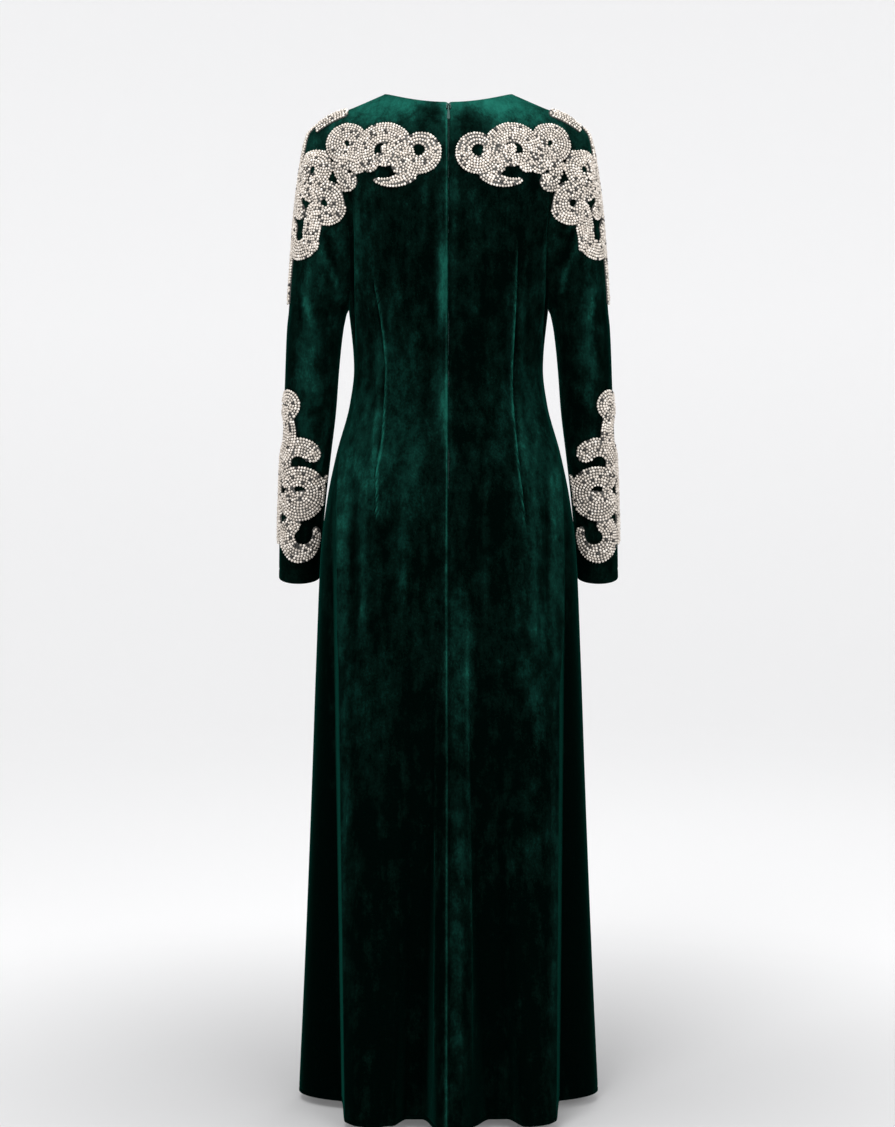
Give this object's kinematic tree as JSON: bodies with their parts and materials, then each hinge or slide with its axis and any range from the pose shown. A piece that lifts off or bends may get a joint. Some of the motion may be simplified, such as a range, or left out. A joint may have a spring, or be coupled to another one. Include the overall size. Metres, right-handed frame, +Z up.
{
  "type": "maxi dress",
  "caption": "Long-sleeved floor-length velvet dress with a round neck, centre-back zip, deep skirt folds and raised beaded scrollwork on the shoulders and cuffs.",
  "frame": {"origin": "at shoulder height, midway between the two shoulder seams, where the wearer's shoulders hold the dress", "axes": "+Z up, +X towards the wearer's right hand, +Y towards the front of the dress, so the pictured back faces -Y"},
  "size_m": [0.4882, 0.4397, 1.4103],
  "materials": {
    "velvet": "dark bottle-green velvet with a soft pile",
    "beads": "small silver and crystal beads, packed close",
    "zip_metal": "dark green lacquered metal"
  },
  "bodies": {
    "dress": {"back_left": "velvet", "back_right": "velvet", "front": "velvet", "sleeve_left": "velvet", "sleeve_right": "velvet", "back_scroll_left": "beads", "back_scroll_right": "beads", "front_scroll_left": "beads", "front_scroll_right": "beads", "shoulder_scroll_left": "beads", "shoulder_scroll_right": "beads", "cuff_scroll_left": "beads", "cuff_scroll_right": "beads", "zip_slider": "zip_metal"},
    "pull_tab": {"zip_pull": "zip_metal"}
  },
  "joints": [
    {"name": "pull_swing", "type": "hinge", "parent": "dress", "child": "pull_tab", "pos_m": [0, -0.06975, -0.02614], "axis": [-1, 0, 0], "range_deg": [0, 150]}
  ]
}
